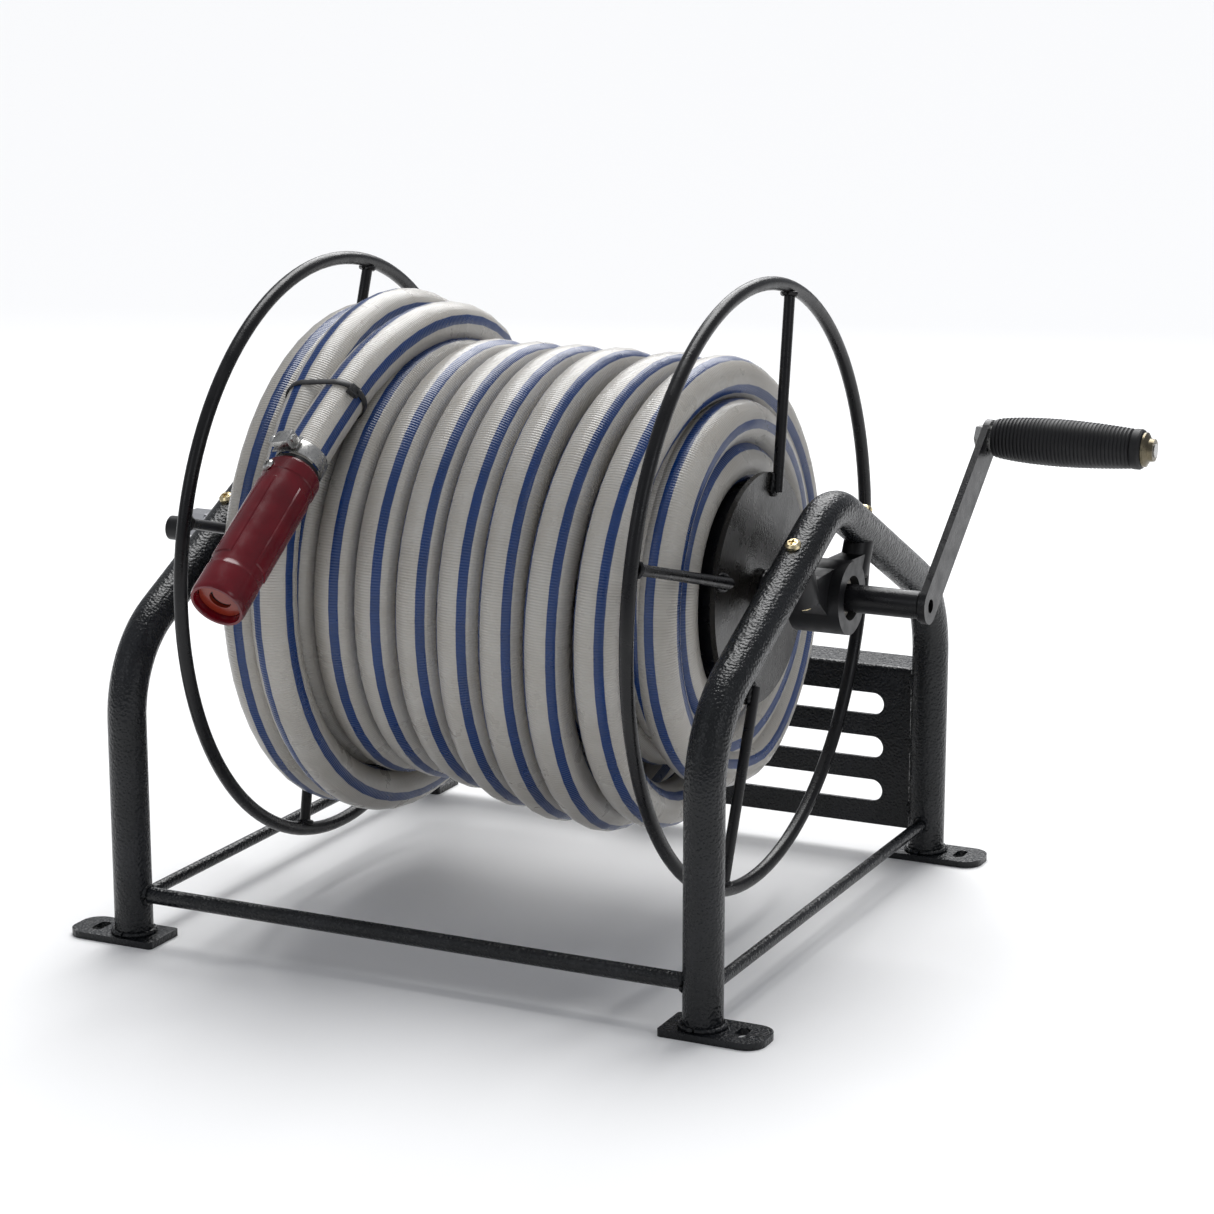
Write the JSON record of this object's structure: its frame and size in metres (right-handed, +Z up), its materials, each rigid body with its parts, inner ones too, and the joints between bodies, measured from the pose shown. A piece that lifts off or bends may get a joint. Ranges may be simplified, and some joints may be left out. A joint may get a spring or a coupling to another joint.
{
  "type": "fire hose reel",
  "caption": "Floor-standing fire hose reel: hand-cranked drum on bent-tube side frames, wound with striped hose ending in a twist nozzle.",
  "frame": {"origin": "centre of the four foot slots, at floor level", "axes": "+X forwards to the side where the nozzle hangs, +Y along the axle towards the crank, +Z up"},
  "size_m": [0.5561, 0.7505, 0.478],
  "materials": {
    "frame_coat": "black hammered powder coat",
    "rod_coat": "smooth semi-gloss black powder coat",
    "black_moulding": "satin black moulding",
    "pale_bush": "plain acetal",
    "yellow_zinc": "yellow zinc plate",
    "bright_steel": "bright zinc plate",
    "chrome": "polished",
    "brass": "turned",
    "hose": "woven, grey-white with blue lengthwise stripes",
    "nozzle_red": "gloss crimson",
    "nozzle_tip_red": "gloss orange-red",
    "grip_black": "finely ribbed",
    "seal": "matt",
    "tie": "satin nylon"
  },
  "bodies": {
    "frame": {"side_frame_crank": "frame_coat", "side_frame_inlet": "frame_coat", "foot_front_crank": "frame_coat", "foot_front_inlet": "frame_coat", "foot_rear_crank": "frame_coat", "foot_rear_inlet": "frame_coat", "front_crossbar": "frame_coat", "base_bar_crank": "frame_coat", "base_bar_inlet": "frame_coat", "rear_plate": "frame_coat", "bearing_hanger_crank": "black_moulding", "bearing_hanger_inlet": "black_moulding", "bearing_bush_crank": "pale_bush", "bearing_bush_inlet": "pale_bush", "hanger_screws": "yellow_zinc", "hanger_nuts": "yellow_zinc"},
    "drum": {"rim_crank": "rod_coat", "rim_inlet": "rod_coat", "spokes_crank": "rod_coat", "spokes_inlet": "rod_coat", "hub_disc_crank": "rod_coat", "hub_disc_inlet": "rod_coat", "drum_barrel": "rod_coat", "axle": "rod_coat", "stop_collar_crank": "rod_coat", "stop_collar_inlet": "rod_coat", "grub_screws": "bright_steel", "crank_arm": "rod_coat", "grip_spindle": "bright_steel", "grip_washer": "bright_steel", "grip_nut": "bright_steel", "feed_elbow": "bright_steel", "hose_barb": "brass", "inner_hose_clamp": "bright_steel", "hose_winding": "hose", "hose_tail": "hose", "clamp_band": "bright_steel", "clamp_screw": "bright_steel", "cable_tie": "tie", "nozzle_body": "black_moulding", "nozzle_seals": "seal"},
    "grip": {"grip": "grip_black"},
    "nozzle_twist": {"nozzle_sleeve": "nozzle_red", "nozzle_tip": "nozzle_tip_red", "nozzle_screw": "bright_steel"},
    "inlet_swivel": {"swivel_housing": "chrome", "swivel_seal": "seal", "inlet_spigot": "black_moulding", "union_nut": "chrome"}
  },
  "joints": [
    {"name": "drum_spin", "type": "hinge", "parent": "frame", "child": "drum", "pos_m": [0, 0, 0.255], "axis": [0, -1, 0], "range_deg": [-50, 180]},
    {"name": "grip_spin", "type": "hinge", "parent": "drum", "child": "grip", "pos_m": [-0.12522, 0.36, 0.3546], "axis": [0, 1, 0], "continuous": true},
    {"name": "nozzle_turn", "type": "hinge", "parent": "drum", "child": "nozzle_twist", "pos_m": [0.182, -0.101, 0.35], "axis": [0.8235, 0, -0.5673], "range_deg": [0, 180]},
    {"name": "inlet_turn", "type": "hinge", "parent": "drum", "child": "inlet_swivel", "pos_m": [0, -0.27, 0.255], "axis": [0, 1, 0], "continuous": true}
  ]
}
